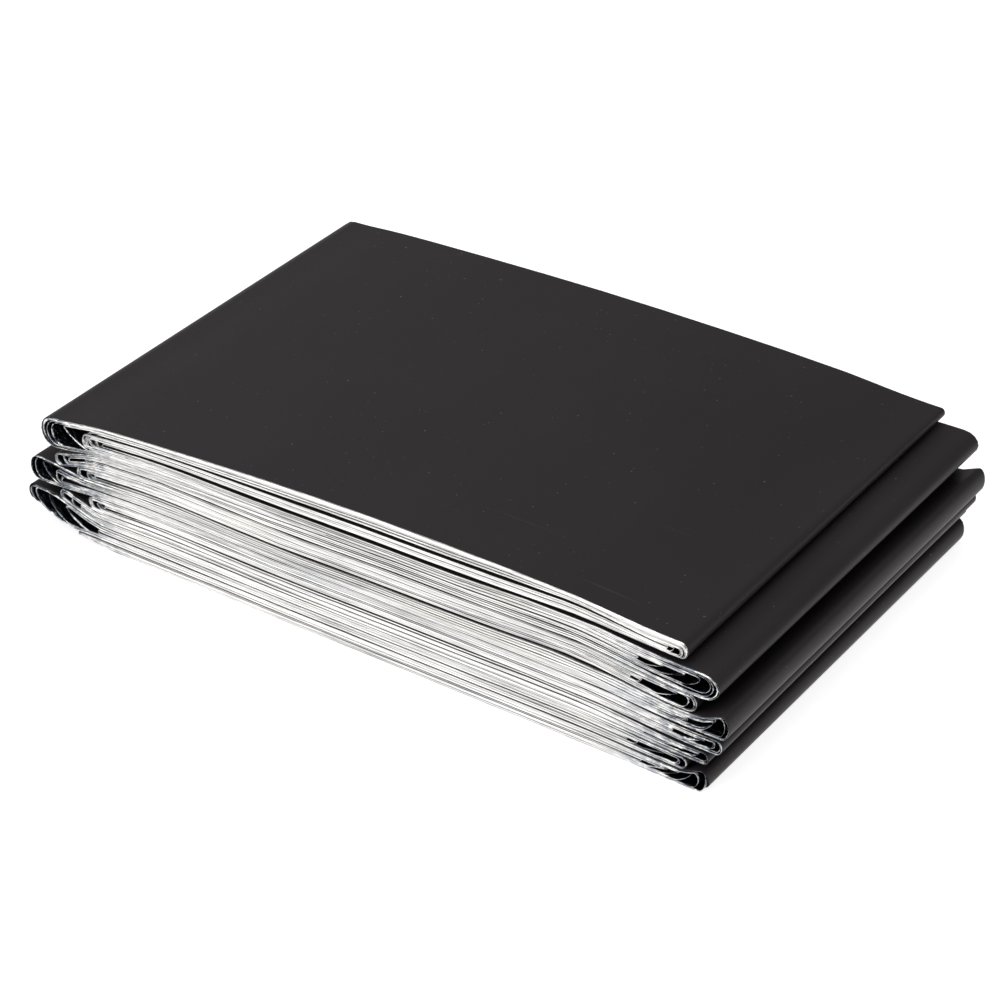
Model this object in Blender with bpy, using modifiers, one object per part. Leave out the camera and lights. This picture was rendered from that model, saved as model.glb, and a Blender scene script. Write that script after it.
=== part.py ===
"""Emergency foil blanket, folded into a flat packet.

The foil sheet is pleated across its width into a narrow strip, and the strip is folded back and
forth along its length. The packet is one solid: the strip's path in side view, with a pass for
each time it crosses the packet and a rounded fold at each end, swept from the packet's front to
its back and given the strip's thickness. The strip's first end is tucked in under the top left
fold, and its last end lies flat at the bottom.

X runs along the passes, Y from the packet's front to its back and Z up. The packet lies on z = 0,
with the middle of its box over the origin.
"""

from collections import namedtuple
from math import cos, pi, sin

import bmesh
import bpy

MM = 0.001
NAME = "foil_blanket"

STRIP_THICKNESS = 1.0 * MM  # the pleated layers of foil, pressed together
STRIP_WIDTH = 82.9 * MM
FREE_END = -58.0 * MM  # x of the last end, at the bottom
TUCKED_END = -5.0 * MM  # x of the first end, tucked in from the top left

# The top of the packet is crowned. Its height is a parabola along X, at the front and at the back.
Crown = namedtuple("Crown", "height peak_x fall")  # fall: height lost per square mm from the peak
FRONT_CROWN = Crown(26.9, 20.0, 0.00061)
BACK_CROWN = Crown(25.8, 5.0, 0.00045)

# The passes in the strip's order, in millimetres. share: the pass's part of the packet's height
# in the middle, where the upper passes lie loosest. forward: how far it sticks out at the front.
Pass = namedtuple("Pass", "share forward")
PASSES = (
    Pass(1.6, -0.10),  # the tucked end
    Pass(2.1, -0.10),
    Pass(2.4, 0.05),
    Pass(1.8, -0.05),
    Pass(2.4, 0.10),
    Pass(1.5, 0.00),
    Pass(1.5, -0.10),
    Pass(2.0, 0.10),
    Pass(1.5, -0.05),
    Pass(1.5, 0.05),
    Pass(1.4, 0.15),
    Pass(1.5, 0.00),
    Pass(1.4, -0.15),
    Pass(1.5, 0.10),
    Pass(1.4, 0.05),
    Pass(1.5, 0.15),
    Pass(1.5, 0.10),
)
TUCKED_UNDER = 3  # the tucked end lies between this pass and the next one
TUCKED_EASING = 14.0  # past its edge, how far the passes take to close up again
EVEN_SHARE = 1.6  # at the left, where the passes lie evenly

# The folds in the strip's order, in millimetres. reach: how far its tip is from the middle at the
# front. skew: how much further it reaches at the back. upper, lower: heights of the middle of the
# two passes that it joins, at its tip.
Fold = namedtuple("Fold", "side reach skew upper lower")
FOLDS = (
    Fold("left", 64.2, 0.3, 22.2, 17.7),
    Fold("right", 61.2, -0.9, 25.1, 23.1),
    Fold("left", 54.6, 0.8, 20.9, 19.3),
    Fold("right", 66.8, 0.1, 21.1, 17.8),
    Fold("left", 61.9, -0.6, 14.9, 13.7),
    Fold("right", 63.1, 0.4, 16.4, 14.7),
    Fold("left", 54.0, 0.5, 14.3, 13.9),
    Fold("right", 68.7, 0.0, 13.3, 11.4),
    Fold("left", 67.5, 0.0, 13.1, 9.6),
    Fold("right", 67.7, -0.3, 10.0, 8.6),
    Fold("left", 51.5, 0.6, 11.3, 10.9),
    Fold("right", 65.6, 0.3, 7.3, 6.0),
    Fold("left", 61.5, -0.2, 9.1, 7.9),
    Fold("right", 61.8, 0.5, 4.6, 3.3),
    Fold("left", 68.7, 0.0, 6.9, 5.2),
    Fold("right", 65.4, 0.5, 2.0, 0.5),
)
FOLD_POINTEDNESS = 1.25  # a fold's depth over half its height
FOLD_STEPS = 5

# Where the passes leave the even stack and turn to the heights of their folds, in millimetres.
LEFT_SHOULDER = (-65.0, -51.5)
RIGHT_SHOULDER = (54.0, 62.0)
LOOSENING = (-20.0, 25.0)  # from the even stack at the left to each pass's own share
END_STEPS = (0.0, 3.0, 6.0, 10.0, 16.0)  # distances from a fold where a pass has a point
MIDDLE_SPACING = 20.0  # between a pass's points further in
WIDTH_STEPS = 4

COLOUR = (0.030, 0.028, 0.029, 1.0)  # black side of the foil
ROUGHNESS = 0.42


def ramp(value, start, end):
    """Smooth step from 0 at start to 1 at end."""
    share = min(max((value - start) / (end - start), 0.0), 1.0)
    return share * share * (3.0 - 2.0 * share)


def mix(start, end, share):
    return start + (end - start) * share


def packet_height(x, depth):
    """Height of the packet in millimetres at x, at a share of its depth from front to back."""
    crowns = (FRONT_CROWN, BACK_CROWN)
    front, back = (crown.height - crown.fall * (x - crown.peak_x) ** 2 for crown in crowns)
    return mix(front, back, depth)


def pass_share(index, x):
    """What a pass takes of the packet's height at x. The tucked end takes nothing past its edge."""
    if index == 0:
        tucked_edge = TUCKED_END / MM
        return EVEN_SHARE * (1.0 - ramp(x, tucked_edge, tucked_edge + TUCKED_EASING))
    return mix(EVEN_SHARE, PASSES[index].share, ramp(x, *LOOSENING))


def stack_order():
    """The passes from the top of the packet to its bottom."""
    order = list(range(1, len(PASSES)))
    order.insert(TUCKED_UNDER, 0)
    return order


def stack_height(index, x, depth):
    """Height of the middle of a pass in the stack, in millimetres."""
    middles = {}
    total = 0.0
    for other in stack_order():
        share = pass_share(other, x)
        middles[other] = total + share / 2.0
        total += share
    top = middles[1]
    bottom = middles[len(PASSES) - 1]
    half = STRIP_THICKNESS / MM / 2.0
    return mix(packet_height(x, depth) - half, half, (middles[index] - top) / (bottom - top))


def fold_height(index, fold_index):
    """Height of a pass at one of its two folds, in millimetres."""
    fold = FOLDS[fold_index]
    goes_down = fold_index > 0  # only the tucked end's fold leads up to its next pass
    is_upper = (index == fold_index) == goes_down
    return fold.upper if is_upper else fold.lower


def pass_height(index, x, depth):
    """Height of the middle of a pass, in millimetres, from the stack to its folds."""
    height = stack_height(index, x, depth)
    last = len(PASSES) - 1
    for fold_index in (index - 1, index):
        if not 0 <= fold_index < len(FOLDS):
            continue
        end_height = fold_height(index, fold_index)
        if FOLDS[fold_index].side == "left":
            height = mix(end_height, height, ramp(x, *LEFT_SHOULDER))
        else:
            height = mix(height, end_height, ramp(x, *RIGHT_SHOULDER))
    return STRIP_THICKNESS / MM / 2.0 if index == last else height


def fold_tip(fold, depth):
    """x of the strip's middle at the tip of a fold, in millimetres."""
    reach = fold.reach + fold.skew * depth - STRIP_THICKNESS / MM / 2.0
    return -reach if fold.side == "left" else reach


def fold_root(fold_index, depth):
    """x in millimetres where a fold's arc starts and ends."""
    fold = FOLDS[fold_index]
    tip = fold_tip(fold, depth)
    inward = 1.0 if fold.side == "left" else -1.0
    opening = abs(pass_height(fold_index, tip, depth) - pass_height(fold_index + 1, tip, depth))
    return tip + inward * FOLD_POINTEDNESS * opening / 2.0


def pass_ends(index, depth):
    """x of both ends of a pass, in the strip's order."""
    start = fold_root(index - 1, depth) if index > 0 else TUCKED_END / MM
    end = fold_root(index, depth) if index < len(FOLDS) else FREE_END / MM
    return start, end


def middle_length(index, depth):
    """Length of a pass between its end steps."""
    start, end = pass_ends(index, depth)
    return abs(end - start) - 2.0 * END_STEPS[-1]


def pass_points(index, depth):
    """Points (x, forward, z) along a pass, in millimetres. Their number is the same at every depth."""
    start, end = pass_ends(index, depth)
    length = abs(end - start)
    middle = middle_length(index, depth)
    steps = max(round(middle_length(index, 0.0) / MIDDLE_SPACING), 1)
    distances = list(END_STEPS)
    distances += [END_STEPS[-1] + middle * step / steps for step in range(1, steps)]
    distances += [length - step for step in reversed(END_STEPS)]
    direction = 1.0 if end > start else -1.0
    points = []
    for distance in distances:
        x = start + direction * distance
        points.append((x, PASSES[index].forward, pass_height(index, x, depth)))
    return points


def fold_points(fold_index, depth):
    """Points (x, forward, z) round a fold, without its two roots, in millimetres."""
    fold = FOLDS[fold_index]
    root = fold_root(fold_index, depth)
    tip = fold_tip(fold, depth)
    start = pass_height(fold_index, root, depth)
    end = pass_height(fold_index + 1, root, depth)
    points = []
    for step in range(1, FOLD_STEPS):
        turn = pi * step / FOLD_STEPS
        x = root + (tip - root) * sin(turn)
        z = mix(start, end, (1.0 - cos(turn)) / 2.0)
        forward = mix(PASSES[fold_index].forward, PASSES[fold_index + 1].forward, step / FOLD_STEPS)
        points.append((x, forward, z))
    return points


def strip_path(depth):
    """The strip's middle in side view, from its tucked end to its free end, as points in metres."""
    points = []
    for index in range(len(PASSES)):
        points += pass_points(index, depth)
        if index < len(FOLDS):
            points += fold_points(index, depth)
    across = STRIP_WIDTH * (depth - 0.5)
    return [(x * MM, across - forward * MM, z * MM) for x, forward, z in points]


def sweep_strip():
    """Mesh of the strip's middle: a flat grid, with each of its rows laid along the strip's path."""
    rows = [strip_path(step / WIDTH_STEPS) for step in range(WIDTH_STEPS + 1)]
    columns = len(rows[0]) - 1
    shape = bmesh.new()
    bmesh.ops.create_grid(shape, x_segments=columns, y_segments=WIDTH_STEPS, size=0.5)
    for vert in shape.verts:
        row = round((vert.co.y + 0.5) * WIDTH_STEPS)
        column = round((vert.co.x + 0.5) * columns)
        vert.co = rows[row][column]
    mesh = bpy.data.meshes.new(NAME)
    shape.to_mesh(mesh)
    shape.free()
    return mesh


def foil_material():
    material = bpy.data.materials.new("black_foil")
    material.use_nodes = True
    shader = material.node_tree.nodes["Principled BSDF"]
    shader.inputs["Base Color"].default_value = COLOUR
    shader.inputs["Roughness"].default_value = ROUGHNESS
    shader.inputs["Metallic"].default_value = 0.0
    material.diffuse_color = COLOUR
    return material


def build_blanket(collection):
    blanket = bpy.data.objects.new(NAME, sweep_strip())
    collection.objects.link(blanket)
    blanket.data.materials.append(foil_material())
    blanket.data.shade_smooth()
    wall = blanket.modifiers.new("strip_thickness", "SOLIDIFY")
    wall.thickness = STRIP_THICKNESS
    wall.offset = 0.0
    wall.use_even_offset = True
    return blanket


def main():
    for old in list(bpy.context.scene.objects):
        bpy.data.objects.remove(old, do_unlink=True)
    collection = bpy.data.collections.new(NAME)
    bpy.context.scene.collection.children.link(collection)
    build_blanket(collection)


main()
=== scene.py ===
"""Emergency foil blanket, folded into a flat packet: the looks of its one sheet of foil.

The sheet starts as a flat grid. It is pleated across its width, which makes a strip of pressed
layers, and the strip is folded back and forth along its length. The black side of the foil shows
on the packet's top, ends and back, and the silver side on its long front, where the pleats' front
folds lie in fine lines above each other.
"""

from collections import namedtuple
from math import cos, pi, radians, sin

import bmesh
import bpy
import numpy as np
from mathutils import Matrix, Vector


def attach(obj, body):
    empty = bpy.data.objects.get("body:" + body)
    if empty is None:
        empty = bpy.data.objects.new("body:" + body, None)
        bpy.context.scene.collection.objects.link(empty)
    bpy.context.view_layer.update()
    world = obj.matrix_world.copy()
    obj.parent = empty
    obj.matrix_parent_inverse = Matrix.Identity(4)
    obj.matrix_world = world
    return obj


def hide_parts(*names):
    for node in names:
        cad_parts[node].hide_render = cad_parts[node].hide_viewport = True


bl_info = {
    "name": "Folded foil blanket",
    "version": (1, 0, 0),
    "blender": (4, 5, 0),
    "location": "3D View > Sidebar > Foil Blanket",
    "description": "Folds a two-coloured foil blanket into a packet and sets a studio round it",
    "category": "Object",
}

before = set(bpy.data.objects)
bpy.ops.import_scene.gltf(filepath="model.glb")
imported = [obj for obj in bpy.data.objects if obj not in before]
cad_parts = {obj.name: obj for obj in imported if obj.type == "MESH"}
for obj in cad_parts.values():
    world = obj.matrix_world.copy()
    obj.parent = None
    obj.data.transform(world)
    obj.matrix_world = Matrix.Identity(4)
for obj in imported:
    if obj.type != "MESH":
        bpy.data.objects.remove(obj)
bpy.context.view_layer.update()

MM = 0.001
NODE = "foil_blanket"
BODY = "root"

# ---------------------------------------------------------------- the folds, in millimetres

STRIP_WIDTH = 83.2
FORWARD = 0.1  # how far the strip's middle is in front of the packet's
SOLID_THICKNESS = 1.0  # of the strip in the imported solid, whose fold heights are repeated below
FREE_END = -58.0  # x of the last end, at the bottom
TUCKED_END = -5.0  # x of the first end, tucked in from the top left

Crown = namedtuple("Crown", "height peak_x fall")  # fall: height lost per square mm from the peak
FRONT_CROWN = Crown(26.9, 20.0, 0.00061)
BACK_CROWN = Crown(25.8, 5.0, 0.00045)

# The passes in the strip's order. shares: the pass's part of the packet's height at the left, in
# the middle and at the right. gaps: the dark gap under it, likewise. splits: how many of the lines
# between its front folds stand open.
Pass = namedtuple("Pass", "shares gaps splits")
PASSES = (
    Pass((1.25, 0.22, 0.22), (0.05, 0.03, 0.03), 2),  # the tucked end
    Pass((1.55, 2.30, 1.40), (0.40, 0.66, 0.50), 3),
    Pass((1.65, 2.25, 2.05), (0.45, 0.80, 0.55), 3),
    Pass((1.20, 1.80, 1.95), (0.08, 0.08, 0.28), 4),
    Pass((1.30, 2.35, 2.45), (0.36, 0.34, 0.32), 4),
    Pass((1.55, 1.60, 1.50), (0.14, 0.12, 0.14), 3),
    Pass((1.55, 1.70, 1.55), (0.24, 0.36, 0.26), 3),
    Pass((1.50, 1.50, 1.95), (0.16, 0.22, 0.24), 3),
    Pass((1.48, 1.44, 1.50), (0.20, 0.16, 0.26), 2),
    Pass((1.48, 1.44, 1.50), (0.20, 0.20, 0.24), 3),
    Pass((1.48, 1.44, 1.45), (0.16, 0.22, 0.18), 2),
    Pass((1.48, 1.44, 1.50), (0.20, 0.18, 0.20), 3),
    Pass((1.48, 1.44, 1.45), (0.22, 0.22, 0.16), 2),
    Pass((1.48, 1.44, 1.50), (0.18, 0.16, 0.20), 2),
    Pass((1.48, 1.44, 1.45), (0.22, 0.22, 0.18), 3),
    Pass((1.48, 1.44, 1.50), (0.16, 0.18, 0.16), 2),
    Pass((1.48, 1.44, 1.50), (0.00, 0.00, 0.00), 3),
)
TOP_PASS = 1
BAND_GAP = 1  # its gap between layers whose front fold shows as a smooth band along the top edge
BAND_SHARE = 8.0  # how wide that gap is, on the scale of FOLD_GAPS
BAND_CREASE = 0.28  # how far down on the band its crease is
TUCKED_UNDER = 3  # the tucked end lies between this pass and the next one
TUCKED_EASING = 4.0  # past its edge, how far the passes take to close up again
FREE_THINNING = (-58.0, -50.0)  # where the free end thins out and lifts off what it lies on
FREE_THICKNESS = 0.55
FREE_LIFT = 0.8

# The folds in the strip's order. reach: how far the tip is from the middle at the front. skew: how
# much further it reaches at the back. upper, lower: heights of the middle of its two passes in the
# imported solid. upper_thick, lower_thick: their thickness at the tip. pointed: depth over half the
# height. flick: how much the upper pass rises at its tip. back_lift: how much higher it is at the
# back. open_upper, open_lower: widths of the dark lines between the strands of its passes, and
# open_lines: how many there are apart from those beside its loops.
Fold = namedtuple(
    "Fold",
    "side reach skew upper lower upper_thick lower_thick pointed flick back_lift"
    " open_upper open_lower open_lines",
)
FOLDS = (
    Fold("left", 64.4, 0.0, 21.9, 17.2, 1.3, 1.9, 0.9, 0.0, 1.3, 1.6, 1.6, 3),
    Fold("right", 61.2, -0.9, 25.0, 23.1, 1.8, 0.9, 0.8, 0.0, -1.3, 0.5, 2.0, 2),
    Fold("left", 55.2, 0.8, 20.9, 19.3, 1.2, 1.2, 0.8, 0.0, 0.0, 1.2, 1.5, 3),
    Fold("right", 66.8, 0.1, 21.0, 17.7, 2.2, 1.7, 1.3, 0.0, 0.0, 1.6, 3.2, 3),
    Fold("left", 61.9, -0.6, 14.8, 13.6, 1.0, 1.0, 1.0, 0.0, 0.0, 1.4, 1.6, 3),
    Fold("right", 63.1, 0.4, 16.3, 14.4, 1.7, 1.0, 1.0, 0.0, 0.0, 1.4, 2.6, 3),
    Fold("left", 57.0, 0.5, 12.9, 13.3, 0.8, 0.8, 0.9, 0.0, 0.0, 1.2, 1.6, 3),
    Fold("right", 68.7, 0.0, 13.3, 11.4, 1.5, 1.1, 0.5, 1.7, 0.0, 2.4, 2.0, 3),
    Fold("left", 67.5, 0.0, 13.1, 9.6, 2.0, 1.2, 0.7, 0.0, 0.0, 2.2, 1.6, 3),
    Fold("right", 67.7, -0.3, 10.0, 8.6, 1.1, 1.1, 0.7, 0.0, 0.0, 1.6, 1.8, 3),
    Fold("left", 55.0, 0.6, 9.4, 9.3, 1.1, 1.1, 0.9, 0.0, 0.0, 1.2, 1.6, 3),
    Fold("right", 65.6, 0.3, 7.2, 5.9, 1.2, 1.0, 0.8, 0.0, 0.0, 1.6, 1.8, 3),
    Fold("left", 61.5, -0.2, 9.2, 7.9, 1.1, 1.1, 0.9, 0.0, 0.0, 1.2, 1.4, 2),
    Fold("right", 61.8, 0.5, 4.6, 3.3, 1.2, 1.0, 1.0, 0.0, 0.0, 1.4, 1.8, 3),
    Fold("left", 68.7, 0.0, 6.9, 5.2, 1.5, 1.2, 0.8, 0.0, 0.0, 1.4, 1.8, 3),
    Fold("right", 65.4, 0.5, 2.0, 0.5, 1.2, 1.1, 0.6, 1.4, 0.8, 2.2, 1.8, 3),
)
# The strands inside the outermost one of each fold. layers: how many of the strip's layers are in
# the strand and inside it, an odd number. back_by: how much earlier than the outermost one it turns
# back. lean: how much earlier still in the lower pass. The spaces between the strands are dark.
Loop = namedtuple("Loop", "layers back_by lean")
LOOP_ROWS = (
    ((13, 0.5, 0.0), (11, 1.2, 0.5), (9, 2.6, 4.6), (7, 9.0, -0.8), (3, 10.0, 0.6)),
    ((5, 0.7, 0.6), (3, 1.8, 0.0)),
    ((11, 0.8, 0.6), (7, 1.8, -0.5), (3, 3.0, 0.0)),
    ((13, 0.3, 0.2), (9, 0.9, 2.4), (7, 3.0, 4.0), (5, 6.5, 3.0), (3, 11.0, 0.0)),
    ((11, 0.8, 0.8), (7, 2.6, -0.9), (3, 5.2, 0.0)),
    ((11, 0.5, 0.4), (9, 1.6, 3.6), (7, 7.8, 0.6), (3, 9.4, 0.0)),
    ((9, 1.2, 0.6), (5, 2.6, 0.0)),
    ((13, 0.4, 0.2), (11, 1.2, 2.4), (7, 5.8, 0.0), (3, 7.2, 0.0)),
    ((13, 0.5, 0.3), (11, 1.2, 2.8), (9, 4.4, 0.2), (5, 5.6, -0.8)),
    ((11, 0.4, 0.3), (7, 1.4, 3.0), (3, 7.0, 0.0)),
    ((9, 1.0, 0.6), (5, 2.2, 0.0)),
    ((9, 0.6, 1.4), (5, 2.6, 4.0), (3, 10.0, 0.0)),
    ((9, 1.4, 1.0), (5, 3.0, 0.0)),
    ((11, 0.5, 0.3), (7, 1.6, 4.5), (5, 7.0, 1.0), (3, 9.0, 0.0)),
    ((15, 0.4, 0.9), (13, 1.2, 2.6), (11, 3.6, 4.2), (9, 7.2, 4.4), (5, 13.6, 0.0)),
    ((13, 0.5, 0.6), (11, 1.2, 2.6), (9, 3.0, 3.0), (7, 5.0, 3.4), (3, 9.5, 0.0)),
)
LOOPS = [[Loop(*row) for row in rows] for rows in LOOP_ROWS]
LEFT_SHOULDER = (-65.0, -51.5)  # x from a fold's heights to those of the stack
LOW_SHOULDER = (-69.5, -59.0)  # likewise for the lower pass of the lowest left fold
LOW_PASS = len(PASSES) - 2
RIGHT_SHOULDER = (40.0, 63.0)
FLICK_REACH = (0.0, 5.5)  # distances from a fold's tip where its flick is full, and where it ends
LOOSENING = (-44.0, -10.0)  # x from the left shares and gaps to those of the middle
TIGHTENING = (16.0, 46.0)  # and from there to those of the right

LAYERS = 16  # pressed pleats in the strip
DEPTHS = (0.0, 0.004, 0.996, 1.0)  # rows of points across each layer, as shares of its width
END_STEPS = (0.0, 0.6, 1.5, 3.0, 5.0, 7.5, 10.5, 14.0, 18.0)  # distances from a fold of its points
MIDDLE_SPACING = 12.5
FOLD_STEPS = 8
SHIFT_REACH = 45.0  # how far from a fold the points of its inner layers are shifted
THINNEST_PASS = 0.15

# Random ranges for the gaps between neighbouring layers. A pass's thickness is divided among its
# gaps in their ratio. At the front and at the back every second gap is a fold between two layers,
# and the others are the narrow lines between the folds.
FOLD_GAPS = (0.7, 1.3)
LINE_GAPS = (0.14, 0.30)
OPEN_LINE_GAPS = (0.8, 2.0)
BACK_FOLD_GAPS = (0.8, 1.3)
BACK_LINE_GAPS = (0.25, 0.5)
FANNED_FOLD_GAPS = (0.7, 1.1)
FANNED_LINE_GAPS = (0.25, 0.8)
STRAND_WIDTHS = (0.5, 1.1)  # of the dark lines between strands, as shares of the fold's widths
LOOP_WIDTHS = (0.6, 1.1)  # likewise of the lines beside its loops
FAN_REACH = (3.0, 26.0)  # distances from a fold's tip where its layers are fanned out, and pressed
LOOP_SETBACKS = (0.0, 0.2)  # how much earlier a pleat turns back than the one outside it

# Waves along X. length: from one crest to the next, over two pi.
Wave = namedtuple("Wave", "size length")
SLOW_SWELL = Wave(1.0, 11.0)  # the gaps between the layers swell and shrink
QUICK_SWELL = Wave(0.7, 4.3)
FOLD_SWELL = Wave(0.8, 1.9)  # added at a fold
SWELLING = 0.10  # how strong the swells are
FOLD_SWELLING = 0.40  # how much stronger at a fold
EDGE_WAVES = (Wave(0.05, 17.0), Wave(0.03, 6.1))  # of a pass's front and back edges

BULGE = 0.45  # how far the crease between two layers sticks out, as a share of their distance
BULGE_LIMIT = 0.25
PUSH = 0.06  # how uneven the edges of a pass's layers are
CRUMPLE = 2.5  # what a fold adds to that at the front, as a share of it
CRUMPLE_REACH = (2.0, 16.0)  # distances from a fold's tip where that is full, and where it ends
CORNER_STEP = (12.0, 17.0)  # x where the lowest layers step back from the bottom front edge
CORNER_DEPTH = 1.3
STEPPED_LAYERS = 2


def ramp(value, start, end):
    """Smooth step from 0 at start to 1 at end."""
    share = np.clip((value - start) / (end - start), 0.0, 1.0)
    return share * share * (3.0 - 2.0 * share)


def mix(start, end, share):
    return start + (end - start) * share


def packet_height(x, depth):
    """Height of the packet at x, at a share of its depth from front to back."""
    crowns = (FRONT_CROWN, BACK_CROWN)
    front, back = (crown.height - crown.fall * (x - crown.peak_x) ** 2 for crown in crowns)
    return mix(front, back, depth)


def across(values, x):
    """Value at x, from those for the left, the middle and the right."""
    left, middle, right = values
    return mix(mix(left, middle, ramp(x, *LOOSENING)), right, ramp(x, *TIGHTENING))


def pass_share(index, x):
    """What a pass takes of the packet's height. The tucked end takes nothing past its edge."""
    share = across(PASSES[index].shares, x)
    if index == 0:
        share = share * (1.0 - ramp(x, TUCKED_END, TUCKED_END + TUCKED_EASING))
    return share


def gap_below(index, x):
    return across(PASSES[index].gaps, x)


def stack_order():
    """The passes from the top of the packet to its bottom."""
    order = list(range(1, len(PASSES)))
    order.insert(TUCKED_UNDER, 0)
    return order


def folds_of(index):
    """The folds at the ends of a pass."""
    return [number for number in (index - 1, index) if 0 <= number < len(FOLDS)]


def turns_clockwise(fold_index):
    """True where the strip's first face is on the outside of the fold, seen from the front."""
    return FOLDS[fold_index].side == "right" or fold_index == 0


def first_face_up(index):
    return index % 2 == 1


class Packet:
    """Where every point of the flat sheet lies in the folded packet."""

    def __init__(self, seed):
        self.random = np.random.default_rng(seed)
        self.order = stack_order()
        self.front_gaps = [self.front_lines(row.splits) for row in PASSES]
        self.back_gaps = [self.back_lines() for _ in PASSES]
        self.fan_gaps = [self.fanned_lines(number) for number in range(len(FOLDS))]
        self.front_gaps[TOP_PASS][BAND_GAP] = BAND_SHARE
        for fold_index in folds_of(TOP_PASS):
            self.fan_gaps[fold_index][0][BAND_GAP] = BAND_SHARE
        self.waves = self.random.uniform(0.0, 2.0 * pi, (len(PASSES), len(EDGE_WAVES)))
        self.swells = self.random.uniform(0.0, 2.0 * pi, (len(PASSES), 2, LAYERS - 1))
        self.push = self.random.normal(0.0, PUSH, (len(PASSES), LAYERS))
        self.setbacks = [self.loop_ends() for _ in FOLDS]
        self.steps = [self.pass_steps(index) for index in range(len(PASSES))]

    # ------------------------------------------------ how the layers share the strip's thickness

    def front_lines(self, splits):
        """Gaps between the layers at the front. Some of the lines between the folds stand open."""
        gaps = self.random.uniform(*FOLD_GAPS, LAYERS - 1)
        gaps[0::2] = self.random.uniform(*LINE_GAPS, LAYERS // 2)
        open_lines = self.random.permutation(LAYERS // 2 - 2)[:splits] + 1
        gaps[2 * open_lines] = self.random.uniform(*OPEN_LINE_GAPS, splits)
        return gaps

    def back_lines(self):
        """Gaps at the back, where the folds lie between those of the front."""
        gaps = self.random.uniform(*BACK_FOLD_GAPS, LAYERS - 1)
        gaps[1::2] = self.random.uniform(*BACK_LINE_GAPS, LAYERS // 2 - 1)
        return gaps

    def fanned_lines(self, fold_index):
        """Gaps near a fold, in its upper and its lower pass, whose layers part into strands."""
        fold = FOLDS[fold_index]
        both = []
        for width in (fold.open_upper, fold.open_lower):
            gaps = self.random.uniform(*FANNED_FOLD_GAPS, LAYERS - 1)
            gaps[0::2] = self.random.uniform(*FANNED_LINE_GAPS, LAYERS // 2)
            for line in self.random.permutation(range(2, LAYERS - 2, 2))[: fold.open_lines]:
                gaps[line] = self.random.uniform(*STRAND_WIDTHS) * width
            for loop in LOOPS[fold_index]:
                outer_side = LAYERS - 1 - loop.layers
                line = outer_side if turns_clockwise(fold_index) else loop.layers - 1
                gaps[line] = self.random.uniform(*LOOP_WIDTHS) * width
            both.append(gaps)
        return both

    def loop_ends(self):
        """How much earlier each layer turns back than the outermost one, at a fold."""
        ends = np.zeros(LAYERS)
        ends[1::2] = self.random.uniform(*LOOP_SETBACKS, LAYERS // 2)
        return np.cumsum(ends)

    def closeness(self, fold_index, x, depth, reach):
        """1 near a fold's tip and 0 away from it. reach: the distances where it starts and ends."""
        return 1.0 - ramp(np.abs(x - self.tip(fold_index, depth)), *reach)

    def layer_share(self, index, x, layer, depth):
        """Share of the strip's thickness between its first face and a layer."""
        if depth > 0.5:
            levels = np.concatenate([[0.0], np.cumsum(self.back_gaps[index])])
            return np.full_like(x, levels[layer] / levels[-1])
        near = np.zeros_like(x)
        fanned = np.zeros((len(x), LAYERS - 1))
        for fold_index in folds_of(index):
            close = self.closeness(fold_index, x, depth, FAN_REACH)
            fan = self.fan_gaps[fold_index][0 if self.is_upper(index, fold_index) else 1]
            fanned += close[:, None] * fan
            near += close
        slow, quick = self.swells[index]
        along = x[:, None]
        near = near[:, None]
        swell = SLOW_SWELL.size * np.sin(along / SLOW_SWELL.length + slow)
        swell += QUICK_SWELL.size * np.sin(along / QUICK_SWELL.length + quick)
        swell += FOLD_SWELL.size * near * np.sin(along / FOLD_SWELL.length + slow + quick)
        gaps = self.front_gaps[index] * (1.0 - near) + fanned
        gaps = gaps * np.exp((SWELLING + FOLD_SWELLING * near) * swell)
        levels = np.cumsum(gaps, axis=1)
        return np.zeros_like(x) if layer == 0 else levels[:, layer - 1] / levels[:, -1]

    # ------------------------------------------------ heights

    def stack_band(self, index, x, depth):
        """Middle and thickness of a pass in the stack."""
        shares = {other: pass_share(other, x) for other in self.order}
        height = packet_height(x, depth)
        scale = height / sum(shares.values())
        above = np.zeros_like(x)
        upper_gap = np.zeros_like(x)
        for other in self.order:
            if other == index:
                break
            above = above + shares[other]
            upper_gap = gap_below(other, x)
        top = height - above * scale - upper_gap / 2.0
        bottom = height - (above + shares[index]) * scale + gap_below(index, x) / 2.0
        return (top + bottom) / 2.0, np.maximum(top - bottom, THINNEST_PASS)

    def is_upper(self, index, fold_index):
        """True where a pass is the upper one of a fold. Only the first fold leads upwards."""
        return (index == fold_index) == (fold_index > 0)

    def fold_band(self, index, fold_index, x, depth):
        """Middle and thickness of a pass at one of its folds, and its share of the way there."""
        fold = FOLDS[fold_index]
        is_upper = self.is_upper(index, fold_index)
        thickness = fold.upper_thick if is_upper else fold.lower_thick
        slack = (SOLID_THICKNESS - thickness) / 2.0
        flick = fold.flick * self.closeness(fold_index, x, depth, FLICK_REACH)
        rise = fold.back_lift * depth + flick
        middle = fold.upper + slack + rise if is_upper else fold.lower - slack
        if fold.side == "right":
            return middle, thickness, ramp(x, *RIGHT_SHOULDER)
        shoulder = LOW_SHOULDER if index == LOW_PASS else LEFT_SHOULDER
        return middle, thickness, 1.0 - ramp(x, *shoulder)

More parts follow.
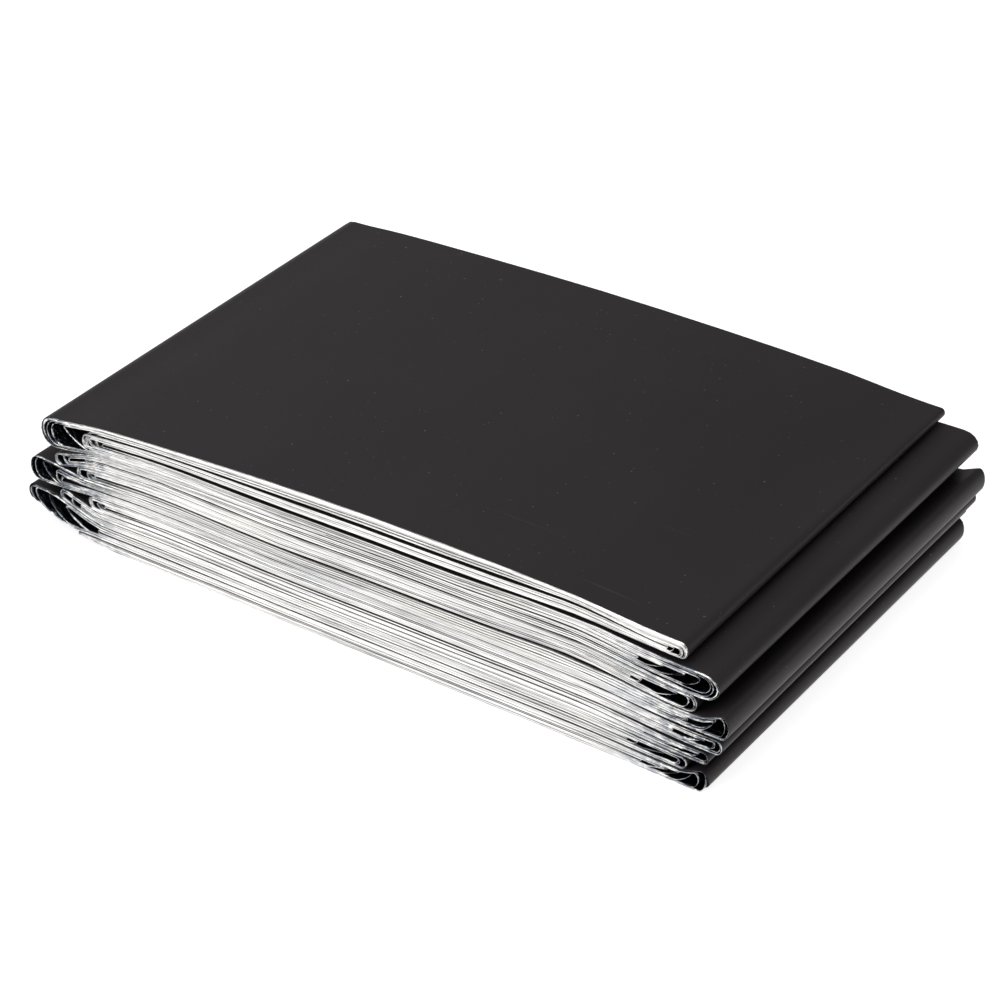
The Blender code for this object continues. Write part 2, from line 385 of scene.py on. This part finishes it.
    def pass_band(self, index, x, depth):
        """Middle and thickness of a pass, from the stack to its folds."""
        middle, thickness = self.stack_band(index, x, depth)
        for fold_index in folds_of(index):
            fold_middle, fold_thickness, share = self.fold_band(index, fold_index, x, depth)
            middle = mix(middle, fold_middle, share)
            thickness = mix(thickness, fold_thickness, share)
        if index == len(PASSES) - 1:
            at_rest = ramp(x, *FREE_THINNING)
            thickness = mix(FREE_THICKNESS, thickness, at_rest)
            middle = thickness / 2.0 + FREE_LIFT * (1.0 - at_rest)
        return middle, thickness

    def layer_height(self, index, x, layer, depth):
        middle, thickness = self.pass_band(index, x, depth)
        offset = (0.5 - self.layer_share(index, x, layer, depth)) * thickness
        return middle + offset if first_face_up(index) else middle - offset

    # ------------------------------------------------ ends of the passes

    def tip(self, fold_index, depth):
        fold = FOLDS[fold_index]
        reach = fold.reach + fold.skew * depth
        return -reach if fold.side == "left" else reach

    def root(self, index, fold_index, layer, depth):
        """x where a layer's turn meets one of its two passes."""
        fold = FOLDS[fold_index]
        inward = 1.0 if fold.side == "left" else -1.0
        tip = np.array([self.tip(fold_index, depth)])
        outer = 0 if turns_clockwise(fold_index) else LAYERS - 1
        ends = [self.layer_height(i, tip, outer, depth)[0] for i in (fold_index, fold_index + 1)]
        root = tip[0] + inward * fold.pointed * abs(ends[0] - ends[1]) / 2.0
        from_outside = abs(layer - outer)
        turns_back = 0.0
        for loop in LOOPS[fold_index]:
            if LAYERS - from_outside <= loop.layers:
                turns_back = loop.back_by + (0.0 if self.is_upper(index, fold_index) else loop.lean)
        turns_back += self.setbacks[fold_index][from_outside]
        return root + inward * turns_back * (1.0 - depth)

    def ends(self, index, layer, depth):
        start = self.root(index, index - 1, layer, depth) if index > 0 else TUCKED_END
        end = self.root(index, index, layer, depth) if index < len(FOLDS) else FREE_END
        return start, end

    def pass_steps(self, index):
        """Distances along a pass at which it has points, close together near its ends."""
        start, end = self.ends(index, self.longest(index), 0.0)
        length = abs(end - start)
        middle = length - 2.0 * END_STEPS[-1]
        steps = max(round(middle / MIDDLE_SPACING), 1)
        distances = list(END_STEPS)
        distances += [END_STEPS[-1] + middle * step / steps for step in range(1, steps)]
        distances += [length - step for step in reversed(END_STEPS)]
        return np.array(distances)

    def longest(self, index):
        """The layer that is on the outside of the fold at a pass's end."""
        fold_index = min(index, len(FOLDS) - 1)
        return 0 if turns_clockwise(fold_index) else LAYERS - 1

    def pass_places(self, index, layer, depth):
        """x of a layer's points along a pass: alike in all layers, but shifted near their ends."""
        first, last = self.ends(index, self.longest(index), 0.0)
        start, end = self.ends(index, layer, depth)
        along = 1.0 if last > first else -1.0
        steps = self.steps[index]
        from_end = steps[-1] - steps
        shift = (start - first) * (1.0 - ramp(steps, 0.0, SHIFT_REACH))
        shift += (end - last) * (1.0 - ramp(from_end, 0.0, SHIFT_REACH))
        return first + along * steps + shift

    # ------------------------------------------------ front and back edges

    def forward(self, index, x, layer, depth):
        """How far a layer's row sticks out to the front.

        The front edges are less even near the folds, apart from those of the top pass.
        """
        phases = zip(EDGE_WAVES, self.waves[index])
        waves = sum(wave.size * np.sin(x / wave.length + phase) for wave, phase in phases)
        near = np.zeros_like(x)
        if index != TOP_PASS:
            for fold_index in folds_of(index):
                near += self.closeness(fold_index, x, depth, CRUMPLE_REACH)
        stepped = 0.0
        if index == len(PASSES) - 1 and layer < STEPPED_LAYERS:
            stepped = CORNER_DEPTH * ramp(x, *CORNER_STEP) * (1.0 - depth)
        push = self.push[index][layer] * (1.0 + CRUMPLE * near * (1.0 - depth))
        return FORWARD + waves + push - stepped

    # ------------------------------------------------ one row of the sheet

    def row(self, layer, depth):
        """A line along the sheet, folded, as points in millimetres."""
        xs, forwards, zs = [], [], []
        places = [self.pass_places(index, layer, depth) for index in range(len(PASSES))]
        for index, x in enumerate(places):
            z = self.layer_height(index, x, layer, depth)
            forward = self.forward(index, x, layer, depth)
            xs.append(x)
            zs.append(z)
            forwards.append(forward)
            if index < len(FOLDS):
                fold = FOLDS[index]
                outward = -1.0 if fold.side == "left" else 1.0
                next_x = places[index + 1][:1]
                next_z = self.layer_height(index + 1, next_x, layer, depth)[0]
                next_forward = self.forward(index + 1, next_x, layer, depth)[0]
                turn = pi * np.arange(1, FOLD_STEPS) / FOLD_STEPS
                half = abs(z[-1] - next_z) / 2.0
                share = (1.0 - np.cos(turn)) / 2.0
                bend = outward * fold.pointed * half * np.sin(turn)
                xs.append(mix(x[-1], next_x[0], share) + bend)
                zs.append(mix(z[-1], next_z, share))
                forwards.append(mix(forward[-1], next_forward, share))
        y = STRIP_WIDTH * (depth - 0.5) - np.concatenate(forwards)
        return np.stack([np.concatenate(xs), y, np.concatenate(zs)], axis=1)

    def rows(self):
        """All rows of the sheet in its flat order."""
        points = []
        for layer in range(LAYERS):
            depths = DEPTHS if layer % 2 == 0 else DEPTHS[::-1]
            lines = [self.row(layer, depth) for depth in depths]
            if points:
                points.append(self.fold_edge(points[-1], lines[0], layer))
            points += lines
        return np.stack(points)

    def fold_edge(self, before, after, layer):
        """The crease between a layer and the one before it, bulging out from them.

        It lies halfway between them, but higher up on the band of the top pass and its folds.
        """
        outward = 1.0 if layer % 2 == 1 else -1.0
        apart = np.abs(before[:, 2] - after[:, 2])
        place = np.full((len(before), 1), 0.5)
        if layer == BAND_GAP + 1:
            start = len(self.steps[0])
            end = start + len(self.steps[TOP_PASS]) + 2 * (FOLD_STEPS - 1)
            place[start:end] = BAND_CREASE
        edge = mix(before, after, place)
        edge[:, 1] += outward * np.minimum(BULGE * apart, BULGE_LIMIT)
        return edge


# ---------------------------------------------------------------- shader maths


class Value:
    """A shader socket that can be used in Python expressions."""

    def __init__(self, tree, socket):
        self.tree = tree
        self.socket = socket

    def math(self, operation, first, second):
        return self.tree.node("ShaderNodeMath", {"operation": operation}, [first, second])

    def __add__(self, other):
        return self.math("ADD", self, other)

    def __radd__(self, other):
        return self.math("ADD", other, self)

    def __sub__(self, other):
        return self.math("SUBTRACT", self, other)

    def __rsub__(self, other):
        return self.math("SUBTRACT", other, self)

    def __mul__(self, other):
        return self.math("MULTIPLY", self, other)

    def __rmul__(self, other):
        return self.math("MULTIPLY", other, self)


class Finish:
    """A material with its Principled shader, and nodes added by type."""

    def __init__(self, name):
        self.material = bpy.data.materials.new(name)
        self.material.use_nodes = True
        self.nodes = self.material.node_tree.nodes
        self.links = self.material.node_tree.links
        self.shader = self.nodes["Principled BSDF"]

    def node(self, kind, settings, values, output=0):
        """A new node: its settings first, then its sockets, by number or by name."""
        made = self.nodes.new(kind)
        for name, setting in settings.items():
            if name == "stops":
                for stop, (place, level) in zip(made.color_ramp.elements, setting):
                    stop.position = place
                    stop.color = (level, level, level, 1.0)
            else:
                setattr(made, name, setting)
        pairs = values.items() if isinstance(values, dict) else enumerate(values)
        for socket, value in pairs:
            self.feed(self.pick(made.inputs, socket), value)
        return Value(self, self.pick(made.outputs, output))

    def pick(self, sockets, key):
        """A socket by number or by name. Some nodes have sockets of the same name, but one in use."""
        if isinstance(key, int):
            return sockets[key]
        return next(socket for socket in sockets if socket.name == key and socket.enabled)

    def feed(self, socket, value):
        if isinstance(value, Value):
            self.links.new(value.socket, socket)
        else:
            socket.default_value = value

    def set(self, **values):
        for name, value in values.items():
            self.feed(self.shader.inputs[name.replace("_", " ")], value)

    def place(self, scale, turn=0.0):
        """Place on the object, turned about Z and stretched, for a texture."""
        place = self.node("ShaderNodeTexCoord", {}, [], output="Object")
        turned = {"Vector": place, "Rotation": (0.0, 0.0, turn), "Scale": scale}
        return self.node("ShaderNodeMapping", {}, turned)

    def past(self, axis, start, reach):
        """0 up to a place on one of the object's axes, rising to 1 at reach past it.

        With a negative reach it rises the other way along the axis.
        """
        place = self.node("ShaderNodeTexCoord", {}, [], output="Object")
        along = self.node("ShaderNodeSeparateXYZ", {}, [place], output=axis)
        return self.stops((along - start) * (1.0 / reach), 0.0, 1.0)

    def noise(self, place, scale, detail=2.0, roughness=0.5):
        values = {"Vector": place, "Scale": scale, "Detail": detail, "Roughness": roughness}
        return self.node("ShaderNodeTexNoise", {}, values)

    def stops(self, value, low, high):
        """0 below low and 1 above high."""
        return self.node("ShaderNodeValToRGB", {"stops": ((low, 0.0), (high, 1.0))}, [value])

    def blend(self, share, first, second):
        """Mix of two colours."""
        colours = {"Factor": share, "A": first, "B": second}
        return self.node("ShaderNodeMix", {"data_type": "RGBA"}, colours, output="Result")

    def tint(self, share, tone, tint):
        return self.blend(share * tint.strength, tone, rgba(tint.colour))

    def bump(self, height, distance, below=None):
        """Relief by a height, on top of the relief below it."""
        values = {"Height": height, "Distance": distance}
        if below is not None:
            values["Normal"] = below
        return self.node("ShaderNodeBump", {}, values)


def rgba(colour):
    return (*colour, 1.0)


# ---------------------------------------------------------------- materials

# Colours blended into the films. strength: how much of one shows where it is full.
Tint = namedtuple("Tint", "colour strength")
SPECK = Tint((0.35, 0.34, 0.34), 0.3)
SCRATCHED = Tint((0.2, 0.2, 0.2), 0.06)
COOL = Tint((0.74, 0.80, 0.90), 0.25)
WARM = Tint((0.88, 0.84, 0.78), 0.3)
# painted shade: fine dark streaks along the silver, for the shading of its tiny folds
STREAK_SHADE = Tint((0.22, 0.22, 0.23), 0.6)
UNLIT = Tint((0.05, 0.05, 0.054), 1.0)
# painted dark reflections: bluish patches on the crumpled silver near its ends
DARK_REFLECTION = Tint((0.22, 0.25, 0.30), 0.8)
PATCHY = 1.3  # how much lighter the black is in its lightest patches

# What marks on the films add to their roughness, or take from it.
RUBBED_ROUGHNESS = 0.1
SCRATCH_ROUGHNESS = 0.1
WRINKLED_ROUGHNESS = 0.12

EVENLY = (1.0, 1.0, 1.0)  # a texture that isn't stretched along X, Y or Z

# Places on the object in metres: where a change starts, and how far from there it is full.
BEHIND_FRONT = (-(STRIP_WIDTH / 2.0 + FORWARD) * MM, 0.00022)  # y in the lines between the pleats
RIGHT_END = (0.046, 0.016)  # x
LEFT_END = (-0.046, -0.012)  # x
BELOW_TOP = (0.0232, -0.001)  # z


def black_finish(settings):
    """Satin black film, with faint waves, rubbed patches, thin scratches and a few specks."""
    finish = Finish("black_film")
    body = finish.place(EVENLY)
    patches = finish.noise(body, scale=28.0)
    rubbed = finish.noise(body, scale=9.0, detail=3.0, roughness=0.6)
    specks = finish.stops(finish.noise(body, scale=2300.0, detail=0.0), low=0.85, high=0.88)
    slanted = finish.place((0.035, 1.0, 1.0), turn=radians(62.0))
    streaks = finish.stops(finish.noise(slanted, scale=900.0, detail=0.0), low=0.80, high=0.86)
    scratch = streaks * finish.stops(rubbed, low=0.48, high=0.60)
    lightest = rgba([level * PATCHY for level in settings.black])
    tone = finish.blend(patches, rgba(settings.black), lightest)
    tone = finish.tint(specks, tone, SPECK)
    tone = finish.tint(scratch, tone, SCRATCHED)
    worn = rubbed * RUBBED_ROUGHNESS - scratch * SCRATCH_ROUGHNESS
    waves = finish.noise(finish.place((1.0, 0.35, 1.0)), scale=45.0, detail=3.0, roughness=0.55)
    grain = finish.noise(body, scale=2400.0, detail=1.0)
    relief = finish.bump(waves, distance=0.00022)
    relief = finish.bump(grain, distance=0.000004, below=relief)
    finish.set(
        Base_Color=tone,
        Roughness=settings.black_roughness + worn,
        Specular_IOR_Level=0.08,
        Normal=relief,
    )
    return finish.material


def silver_finish(settings):
    """Bright metallised film, slightly wrinkled, with faint cool and warm tints.

    Fine streaks along it are painted shade. Its colour is also painted dark in the deep narrow lines
    between the pleats, which light hardly reaches. Near both ends, but not along the top, it is
    crumpled, with dark bluish patches painted into its colour as dark reflections.
    """
    finish = Finish("silver_film")
    along = finish.place((0.02, 1.0, 1.6))
    tint = finish.noise(finish.place((0.7, 1.0, 6.0)), scale=60.0, detail=3.0)
    cool = finish.stops(tint, low=0.58, high=0.80)
    warm = 1.0 - finish.stops(tint, low=0.30, high=0.50)
    tone = finish.tint(cool, rgba(settings.silver), COOL)
    tone = finish.tint(warm, tone, WARM)
    # Painted shade: fine dark streaks along the strip, standing in for the shading of its tiny folds.
    streak_shade = finish.stops(finish.noise(along, scale=3200.0, roughness=0.6), low=0.50, high=0.72)
    tone = finish.tint(streak_shade, tone, STREAK_SHADE)
    tone = finish.tint(finish.past("Y", *BEHIND_FRONT), tone, UNLIT)
    crumples = finish.noise(finish.place((0.6, 1.0, 1.0)), scale=900.0, roughness=0.6)
    at_ends = finish.past("X", *RIGHT_END) + finish.past("X", *LEFT_END)
    at_ends = at_ends * finish.past("Z", *BELOW_TOP)
    # Painted dark reflections: dark bluish patches on the crumpled silver near both ends, below the
    # top.
    patches = finish.stops(crumples, low=0.40, high=0.58) * at_ends
    tone = finish.tint(patches, tone, DARK_REFLECTION)
    wrinkles = finish.noise(along, scale=3000.0, roughness=0.6)
    dents = finish.noise(finish.place((0.3, 1.0, 1.0)), scale=1600.0)
    relief = finish.bump(wrinkles, distance=0.00006)
    relief = finish.bump(dents, distance=0.00005, below=relief)
    relief = finish.bump(crumples * at_ends, distance=0.0006, below=relief)
    finish.set(
        Base_Color=tone,
        Metallic=1.0,
        Roughness=settings.silver_roughness + wrinkles * WRINKLED_ROUGHNESS,
        Normal=relief,
    )
    return finish.material


def floor_finish(settings):
    """White matt paper, lit from below so that shadows on it stay faint."""
    finish = Finish("white_paper")
    fibres = finish.noise(finish.place(EVENLY), scale=300.0, detail=3.0)
    finish.set(
        Base_Color=rgba(settings.floor),
        Roughness=0.85 + fibres * 0.1,
        Specular_IOR_Level=0.1,
        Emission_Color=rgba(settings.floor),
        Emission_Strength=settings.floor_glow,
    )
    return finish.material


# ---------------------------------------------------------------- settings


class FOIL_PG_blanket(bpy.types.PropertyGroup):
    """Sizes and colours of the foil."""

    foil_thickness: bpy.props.FloatProperty(
        name="Foil Thickness",
        description="Thickness of the film",
        default=0.000014,
        precision=6,
        unit="LENGTH",
    )
    seed: bpy.props.IntProperty(
        name="Unevenness Seed",
        description="Which uneven pleats and strands the packet gets",
        default=7,
    )
    black: bpy.props.FloatVectorProperty(
        name="Black Side",
        description="Colour of the outer side of the foil",
        default=(0.0240, 0.0210, 0.0221),
        subtype="COLOR",
    )
    black_roughness: bpy.props.FloatProperty(
        name="Black Roughness",
        description="How matt the black side is",
        default=0.36,
        subtype="FACTOR",
    )
    silver: bpy.props.FloatVectorProperty(
        name="Silver Side",
        description="Colour of the metallised side of the foil",
        default=(0.88, 0.873, 0.858),
        subtype="COLOR",
    )
    silver_roughness: bpy.props.FloatProperty(
        name="Silver Roughness",
        description="How matt the silver side is",
        default=0.24,
        subtype="FACTOR",
    )


class FOIL_PG_studio(bpy.types.PropertyGroup):
    """The camera, the lights and the floor."""

    azimuth: bpy.props.FloatProperty(
        name="Azimuth",
        description="Angle of the camera round the packet, from the front to the right",
        default=radians(34.37),
        subtype="ANGLE",
    )
    elevation: bpy.props.FloatProperty(
        name="Elevation",
        description="Angle of the camera above the floor",
        default=radians(32.46),
        subtype="ANGLE",
    )
    distance: bpy.props.FloatProperty(
        name="Distance",
        description="From the camera to the point that it looks past",
        default=0.4895,
        unit="LENGTH",
    )
    focal_length: bpy.props.FloatProperty(
        name="Focal Length",
        description="Focal length in millimetres on a sensor 36 mm wide",
        default=105.19,
    )
    target: bpy.props.FloatVectorProperty(
        name="Target",
        description="Point that the camera is placed from",
        default=(-0.00155, 0.0, 0.01231),
        subtype="TRANSLATION",
    )
    framing: bpy.props.FloatVectorProperty(
        name="Framing",
        description="How far the camera slides to its right and up",
        default=(0.000935, -0.00534),
        size=2,
    )
    floor: bpy.props.FloatVectorProperty(
        name="Floor",
        description="Colour of the floor",
        default=(0.45, 0.447, 0.45),
        subtype="COLOR",
    )
    floor_glow: bpy.props.FloatProperty(
        name="Floor Glow",
        description="How much light comes through the floor",
        default=1.85,
    )
    surroundings: bpy.props.FloatProperty(
        name="Surroundings",
        description="Brightness of the white room",
        default=0.18,
    )


# ---------------------------------------------------------------- operators


class FOIL_OT_fold(bpy.types.Operator):
    """Folds the flat sheet of foil into the packet"""

    bl_idname = "foil.fold_blanket"
    bl_label = "Fold Blanket"

    def execute(self, context):
        settings = context.scene.foil_blanket
        rows = Packet(settings.seed).rows() * MM
        if not np.isfinite(rows).all():
            raise RuntimeError("the folds give points that are not numbers")
        rows[:, :, 2] += settings.foil_thickness / 2.0
        sheet = self.lay_out(rows)
        sheet.data.materials.append(black_finish(settings))
        sheet.data.materials.append(silver_finish(settings))
        sheet.data.shade_smooth()
        film = sheet.modifiers.new("film", "SOLIDIFY")
        film.thickness = settings.foil_thickness
        film.offset = 0.0
        film.material_offset = 1
        film.material_offset_rim = 1
        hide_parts(NODE)
        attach(sheet, BODY)
        return {"FINISHED"}

    def lay_out(self, rows):
        """A flat grid, each of whose rows is laid along its folded line.

        Every second layer is seen from its other side, so its faces are split the other way. Then
        neighbouring layers bend alike and don't pass through each other.
        """
        count, columns = rows.shape[:2]
        shape = bmesh.new()
        shape.loops.layers.uv.new("flat")
        bmesh.ops.create_grid(
            shape, x_segments=columns - 1, y_segments=count - 1, size=0.5, calc_uvs=True
        )
        layer_rows = len(DEPTHS) + 1  # with the crease after it
        turned = {False: [], True: []}
        for face in shape.faces:
            row = (face.calc_center_median().y + 0.5) * (count - 1)
            turned[int(row / layer_rows) % 2 == 1].append(face)
        for is_turned, faces in turned.items():
            method = "ALTERNATE" if is_turned else "FIXED"
            bmesh.ops.triangulate(shape, faces=faces, quad_method=method)
        mesh = bpy.data.meshes.new("foil_sheet")
        shape.to_mesh(mesh)
        shape.free()
        flat = np.empty(len(mesh.vertices) * 3)
        mesh.vertices.foreach_get("co", flat)
        flat = flat.reshape(-1, 3) + 0.5
        column = np.rint(flat[:, 0] * (columns - 1)).astype(int)
        row = np.rint(flat[:, 1] * (count - 1)).astype(int)
        mesh.vertices.foreach_set("co", rows[row, column].ravel())
        mesh.update()
        sheet = bpy.data.objects.new("foil_sheet", mesh)
        bpy.context.scene.collection.objects.link(sheet)
        return sheet


Lamp = namedtuple("Lamp", "name place size power")  # place and size in metres, power in watts
LAMPS = (
    Lamp("front_light", (-0.62, -1.0, 0.62), 1.3, 9.4),
    Lamp("top_light", (0.15, -0.1, 1.5), 1.4, 16.0),
    Lamp("back_light", (-1.05, 0.85, 0.85), 0.9, 1.0),
)
FLOOR_REACH = 6.0  # from the middle of the floor to its sides, in metres


class FOIL_OT_studio(bpy.types.Operator):
    """Sets the floor, the soft lights and the camera"""

    bl_idname = "foil.set_studio"
    bl_label = "Set Studio"

    def execute(self, context):
        settings = context.scene.foil_studio
        self.floor(settings)
        self.room(context.scene, settings)
        self.camera(context.scene, settings)
        return {"FINISHED"}

    def floor(self, settings):
        shape = bmesh.new()
        bmesh.ops.create_grid(shape, x_segments=1, y_segments=1, size=FLOOR_REACH)
        mesh = bpy.data.meshes.new("studio_floor")
        shape.to_mesh(mesh)
        shape.free()
        floor = bpy.data.objects.new("studio_floor", mesh)
        bpy.context.scene.collection.objects.link(floor)
        mesh.materials.append(floor_finish(settings))

    def room(self, scene, settings):
        world = bpy.data.worlds.new("white_room")
        world.use_nodes = True
        background = world.node_tree.nodes["Background"]
        background.inputs["Color"].default_value = (1.0, 1.0, 1.0, 1.0)
        background.inputs["Strength"].default_value = settings.surroundings
        scene.world = world
        scene.view_settings.view_transform = "Standard"
        for row in LAMPS:
            self.lamp(row)

    def lamp(self, row):
        """A square soft light that faces the packet."""
        light = bpy.data.lights.new(row.name, "AREA")
        light.shape = "SQUARE"
        light.size = row.size
        light.energy = row.power
        lamp = bpy.data.objects.new(row.name, light)
        facing = Vector(row.place).to_track_quat("Z", "Y").to_matrix().to_4x4()
        lamp.matrix_world = Matrix.Translation(row.place) @ facing
        bpy.context.scene.collection.objects.link(lamp)

    def camera(self, scene, settings):
        turn, lift = settings.azimuth, settings.elevation
        back = Vector((sin(turn) * cos(lift), -cos(turn) * cos(lift), sin(lift)))
        right = Vector((cos(turn), sin(turn), 0.0))
        up = back.cross(right)
        data = bpy.data.cameras.new("camera")
        data.lens = settings.focal_length
        data.clip_start = 0.01
        camera = bpy.data.objects.new("camera", data)
        place = Vector(settings.target) + back * settings.distance
        place += right * settings.framing[0] + up * settings.framing[1]
        turned = Matrix((right, up, back)).transposed().to_4x4()
        camera.matrix_world = Matrix.Translation(place) @ turned
        scene.collection.objects.link(camera)
        scene.camera = camera


class FOIL_PT_panel(bpy.types.Panel):
    """Lists the settings and the steps of the foil blanket"""

    bl_idname = "FOIL_PT_panel"
    bl_label = "Foil Blanket"
    bl_space_type = "VIEW_3D"
    bl_region_type = "UI"
    bl_category = "Foil Blanket"

    def draw(self, context):
        column = self.layout.column()
        for group in (context.scene.foil_blanket, context.scene.foil_studio):
            for name in group.__annotations__:
                column.prop(group, name)
        column.operator(FOIL_OT_fold.bl_idname)
        column.operator(FOIL_OT_studio.bl_idname)


CLASSES = (FOIL_PG_blanket, FOIL_PG_studio, FOIL_OT_fold, FOIL_OT_studio, FOIL_PT_panel)


def register():
    for cls in CLASSES:
        bpy.utils.register_class(cls)
    bpy.types.Scene.foil_blanket = bpy.props.PointerProperty(type=FOIL_PG_blanket)
    bpy.types.Scene.foil_studio = bpy.props.PointerProperty(type=FOIL_PG_studio)


def unregister():
    del bpy.types.Scene.foil_blanket
    del bpy.types.Scene.foil_studio
    for cls in reversed(CLASSES):
        bpy.utils.unregister_class(cls)


def main():
    register()
    bpy.ops.foil.fold_blanket()
    bpy.ops.foil.set_studio()


if __name__ == "__main__":
    main()
